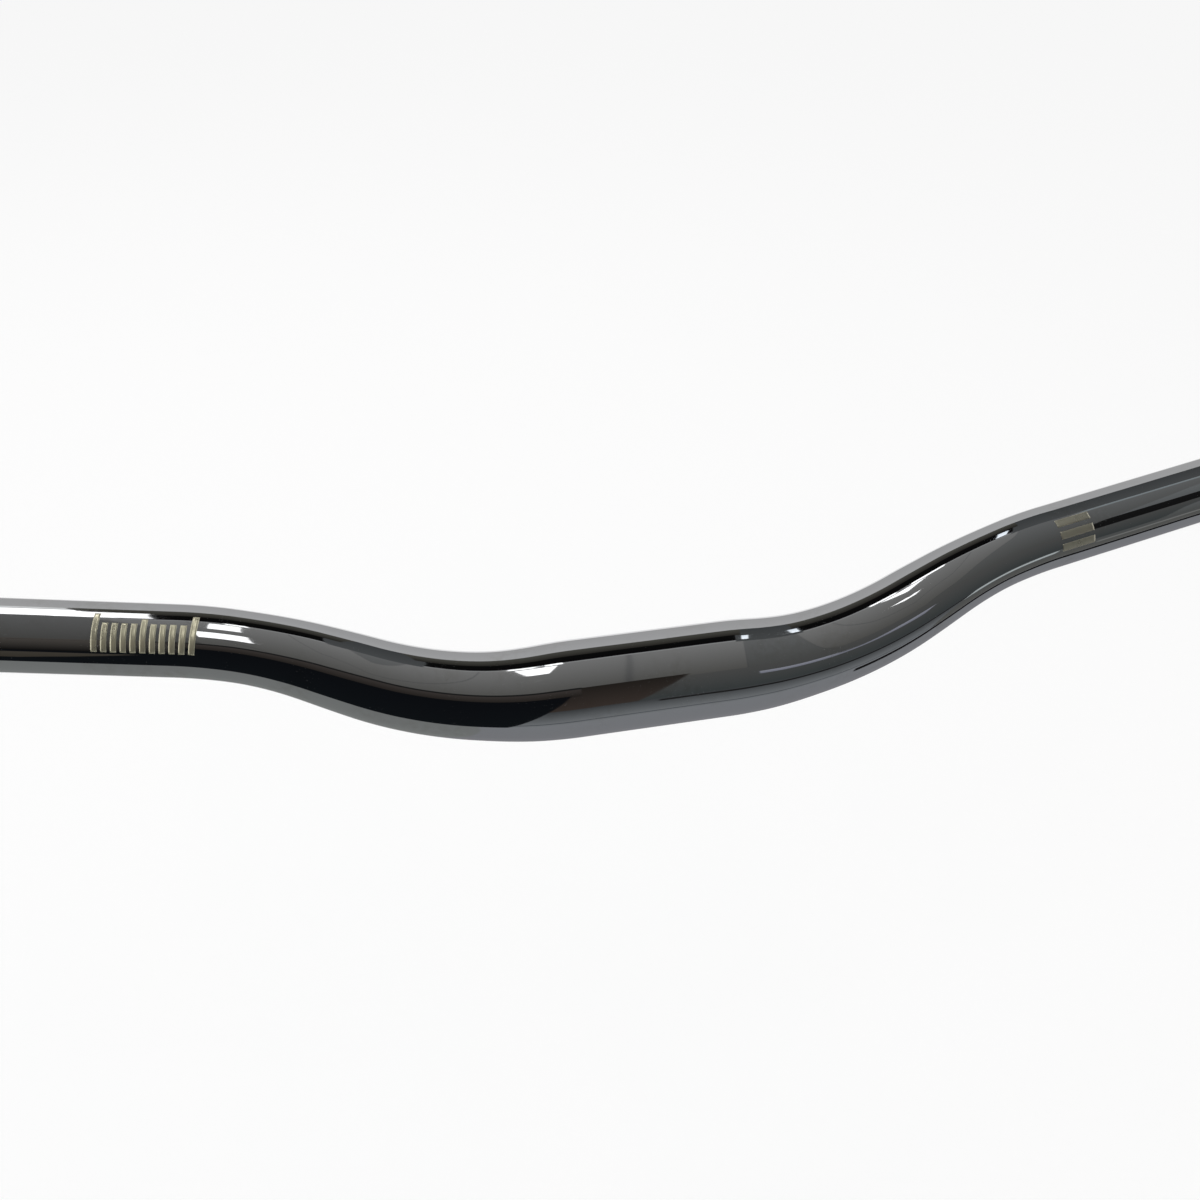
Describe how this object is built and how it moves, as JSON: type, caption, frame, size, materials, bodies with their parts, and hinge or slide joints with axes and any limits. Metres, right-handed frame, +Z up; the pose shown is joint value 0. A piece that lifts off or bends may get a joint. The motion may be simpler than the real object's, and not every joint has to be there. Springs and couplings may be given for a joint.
{
  "type": "bicycle handlebar",
  "caption": "Hollow riser handlebar bent from one chromed tube, with a thick middle for the stem clamp that tapers into straight, swept-back ends for grips and levers.",
  "frame": {"origin": "middle of the stem clamp stretch, on the tube's centreline", "axes": "+X along the clamp stretch, towards the rider's left; +Y back towards the rider; +Z up, as the bar sits on a bicycle"},
  "size_m": [0.7236, 0.0727, 0.0735],
  "materials": {
    "chrome": "polished",
    "printed_marks": "satin"
  },
  "bodies": {
    "root": {"handlebar": "chrome"}
  },
  "joints": []
}
